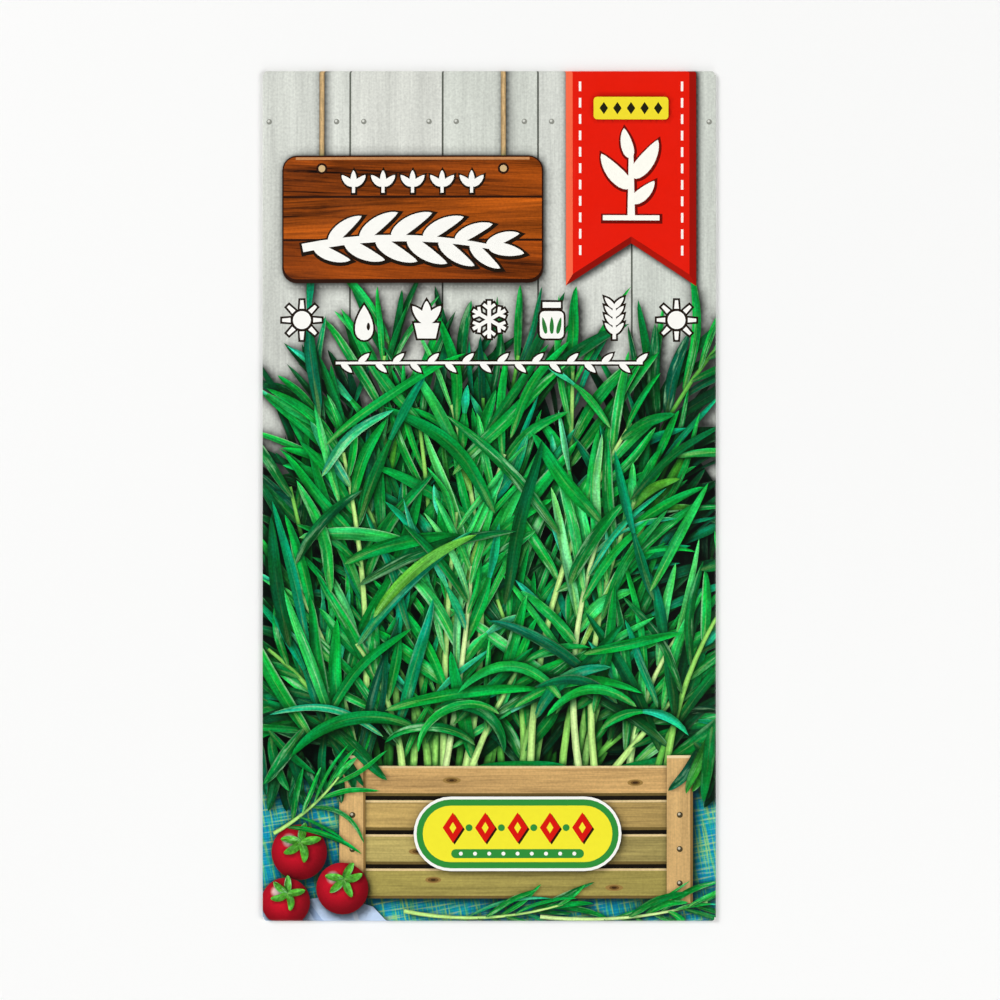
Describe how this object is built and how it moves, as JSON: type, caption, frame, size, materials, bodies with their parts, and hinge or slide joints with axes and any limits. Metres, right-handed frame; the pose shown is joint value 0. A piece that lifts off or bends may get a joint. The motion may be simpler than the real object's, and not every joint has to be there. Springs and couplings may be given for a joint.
{
  "type": "seed packet",
  "caption": "Flat paper seed packet with a printed front, a lapped and glued back seam and folded end flaps, holding a thin sachet of fine herb seed.",
  "frame": {"origin": "middle of the footprint, on the surface that the packet lies on with its printed front up", "axes": "+Z out of the printed front, +Y along the packet's length to its top edge, +X to the right as the front is read"},
  "size_m": [0.08, 0.15, 0.0026],
  "materials": {
    "printed_paper": "coated paper, offset printed, soft gloss outside and uncoated inside",
    "glue": "dried white dispersion glue",
    "glassine": "thin calendered glassine, smooth and slightly glossy",
    "seed": "dry matt seed coat"
  },
  "bodies": {
    "root": {"envelope": "printed_paper", "glue_back_seam": "glue", "glue_bottom_flap": "glue", "glue_top_flap": "glue", "inner_sachet": "glassine", "seeds": "seed"}
  },
  "joints": []
}
